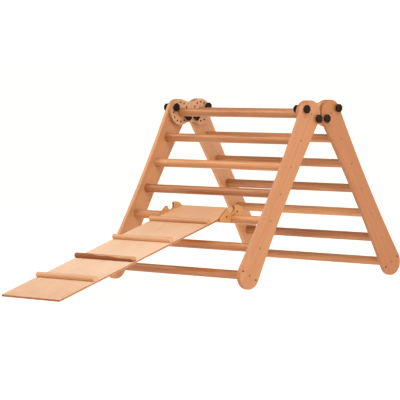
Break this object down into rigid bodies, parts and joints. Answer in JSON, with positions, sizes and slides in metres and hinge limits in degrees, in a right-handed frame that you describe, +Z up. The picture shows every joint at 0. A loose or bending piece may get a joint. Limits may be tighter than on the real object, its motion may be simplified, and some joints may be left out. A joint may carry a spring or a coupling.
{
  "type": "folding climbing triangle",
  "caption": "Folding wooden climbing triangle: two rung ladders on ring-hole hinge plates with clamping knobs, and a cleated ramp hooked over one rung.",
  "frame": {"origin": "On the floor, below the middle of the bounding box of the standing object with its ramp.", "axes": "+Z up; X along the rungs, +X towards the near side of the picture; the ramp runs down towards -Y and the rear ladder stands towards +Y."},
  "size_m": [0.8176, 1.6963, 0.7335],
  "materials": {
    "beech": "satin oiled solid wood",
    "beech_rung": "satin oiled turned wood",
    "birch_ply": "satin plywood with layered edges",
    "panel_ply": "satin pale plywood",
    "black_plastic": "fine moulded texture",
    "zinc_bolt": "zinc plated",
    "yellow_zinc": "yellow zinc plated steel"
  },
  "bodies": {
    "front_ladder": {"front_rail_near": "beech", "front_rail_far": "beech", "front_rung_1": "beech_rung", "front_rung_2": "beech_rung", "front_rung_3": "beech_rung", "front_rung_4": "beech_rung", "front_rung_5": "beech_rung", "front_rung_6": "beech_rung", "front_rung_7": "beech_rung", "front_bolts": "zinc_bolt", "front_rung_screws": "yellow_zinc"},
    "hinge_plates": {"hinge_plate_near": "birch_ply", "hinge_plate_far": "birch_ply", "plate_bolts": "zinc_bolt"},
    "rear_ladder": {"rear_rail_near": "beech", "rear_rail_far": "beech", "rear_rung_1": "beech_rung", "rear_rung_2": "beech_rung", "rear_rung_3": "beech_rung", "rear_rung_4": "beech_rung", "rear_rung_5": "beech_rung", "rear_rung_6": "beech_rung", "rear_rung_7": "beech_rung", "rear_bolts": "zinc_bolt", "rear_rung_screws": "yellow_zinc"},
    "ramp": {"ramp_panel": "panel_ply", "hook_bracket_near": "birch_ply", "hook_bracket_far": "birch_ply", "cleat_1": "beech_rung", "cleat_2": "beech_rung", "cleat_3": "beech_rung", "cleat_4": "beech_rung", "hook_screws": "yellow_zinc", "cleat_screws": "yellow_zinc"},
    "front_outer_knob_near_high": {"front_outer_knob_near_high": "black_plastic"},
    "front_outer_knob_near_low": {"front_outer_knob_near_low": "black_plastic"},
    "front_outer_knob_far_high": {"front_outer_knob_far_high": "black_plastic"},
    "front_outer_knob_far_low": {"front_outer_knob_far_low": "black_plastic"},
    "rear_outer_knob_near_high": {"rear_outer_knob_near_high": "black_plastic"},
    "rear_outer_knob_near_low": {"rear_outer_knob_near_low": "black_plastic"},
    "rear_outer_knob_far_high": {"rear_outer_knob_far_high": "black_plastic"},
    "rear_outer_knob_far_low": {"rear_outer_knob_far_low": "black_plastic"},
    "front_inner_knob_near_high": {"front_inner_knob_near_high": "black_plastic"},
    "front_inner_knob_near_low": {"front_inner_knob_near_low": "black_plastic"},
    "front_inner_knob_far_high": {"front_inner_knob_far_high": "black_plastic"},
    "front_inner_knob_far_low": {"front_inner_knob_far_low": "black_plastic"},
    "rear_inner_knob_near_high": {"rear_inner_knob_near_high": "black_plastic"},
    "rear_inner_knob_near_low": {"rear_inner_knob_near_low": "black_plastic"},
    "rear_inner_knob_far_high": {"rear_inner_knob_far_high": "black_plastic"},
    "rear_inner_knob_far_low": {"rear_inner_knob_far_low": "black_plastic"}
  },
  "joints": [
    {"name": "plate_pivot", "type": "hinge", "parent": "front_ladder", "child": "hinge_plates", "pos_m": [0, 0.3152, 0.67854], "axis": [1, 0, 0], "range_deg": [-30, 60]},
    {"name": "rear_pivot", "type": "hinge", "parent": "hinge_plates", "child": "rear_ladder", "pos_m": [0, 0.4332, 0.67854], "axis": [1, 0, 0], "range_deg": [-30, 60]},
    {"name": "ramp_tilt", "type": "hinge", "parent": "front_ladder", "child": "ramp", "pos_m": [0, 0.0752, 0.26285], "axis": [-1, 0, 0], "range_deg": [0, 90]},
    {"name": "front_outer_knob_near_high_turn", "type": "hinge", "parent": "front_ladder", "child": "front_outer_knob_near_high", "pos_m": [0.4015, 0.28013, 0.69879], "axis": [1, 0, 0], "continuous": true},
    {"name": "front_outer_knob_near_low_turn", "type": "hinge", "parent": "front_ladder", "child": "front_outer_knob_near_low", "pos_m": [0.4015, 0.35028, 0.65829], "axis": [1, 0, 0], "continuous": true},
    {"name": "front_outer_knob_far_high_turn", "type": "hinge", "parent": "front_ladder", "child": "front_outer_knob_far_high", "pos_m": [-0.4015, 0.28013, 0.69879], "axis": [-1, 0, 0], "continuous": true},
    {"name": "front_outer_knob_far_low_turn", "type": "hinge", "parent": "front_ladder", "child": "front_outer_knob_far_low", "pos_m": [-0.4015, 0.35028, 0.65829], "axis": [-1, 0, 0], "continuous": true},
    {"name": "rear_outer_knob_near_high_turn", "type": "hinge", "parent": "rear_ladder", "child": "rear_outer_knob_near_high", "pos_m": [0.4015, 0.46828, 0.69879], "axis": [1, 0, 0], "continuous": true},
    {"name": "rear_outer_knob_near_low_turn", "type": "hinge", "parent": "rear_ladder", "child": "rear_outer_knob_near_low", "pos_m": [0.4015, 0.39813, 0.65829], "axis": [1, 0, 0], "continuous": true},
    {"name": "rear_outer_knob_far_high_turn", "type": "hinge", "parent": "rear_ladder", "child": "rear_outer_knob_far_high", "pos_m": [-0.4015, 0.46828, 0.69879], "axis": [-1, 0, 0], "continuous": true},
    {"name": "rear_outer_knob_far_low_turn", "type": "hinge", "parent": "rear_ladder", "child": "rear_outer_knob_far_low", "pos_m": [-0.4015, 0.39813, 0.65829], "axis": [-1, 0, 0], "continuous": true},
    {"name": "front_inner_knob_near_high_turn", "type": "hinge", "parent": "hinge_plates", "child": "front_inner_knob_near_high", "pos_m": [0.3492, 0.28013, 0.69879], "axis": [-1, 0, 0], "continuous": true},
    {"name": "front_inner_knob_near_low_turn", "type": "hinge", "parent": "hinge_plates", "child": "front_inner_knob_near_low", "pos_m": [0.3492, 0.35028, 0.65829], "axis": [-1, 0, 0], "continuous": true},
    {"name": "front_inner_knob_far_high_turn", "type": "hinge", "parent": "hinge_plates", "child": "front_inner_knob_far_high", "pos_m": [-0.3492, 0.28013, 0.69879], "axis": [1, 0, 0], "continuous": true},
    {"name": "front_inner_knob_far_low_turn", "type": "hinge", "parent": "hinge_plates", "child": "front_inner_knob_far_low", "pos_m": [-0.3492, 0.35028, 0.65829], "axis": [1, 0, 0], "continuous": true},
    {"name": "rear_inner_knob_near_high_turn", "type": "hinge", "parent": "hinge_plates", "child": "rear_inner_knob_near_high", "pos_m": [0.3492, 0.46828, 0.69879], "axis": [-1, 0, 0], "continuous": true},
    {"name": "rear_inner_knob_near_low_turn", "type": "hinge", "parent": "hinge_plates", "child": "rear_inner_knob_near_low", "pos_m": [0.3492, 0.39813, 0.65829], "axis": [-1, 0, 0], "continuous": true},
    {"name": "rear_inner_knob_far_high_turn", "type": "hinge", "parent": "hinge_plates", "child": "rear_inner_knob_far_high", "pos_m": [-0.3492, 0.46828, 0.69879], "axis": [1, 0, 0], "continuous": true},
    {"name": "rear_inner_knob_far_low_turn", "type": "hinge", "parent": "hinge_plates", "child": "rear_inner_knob_far_low", "pos_m": [-0.3492, 0.39813, 0.65829], "axis": [1, 0, 0], "continuous": true}
  ]
}
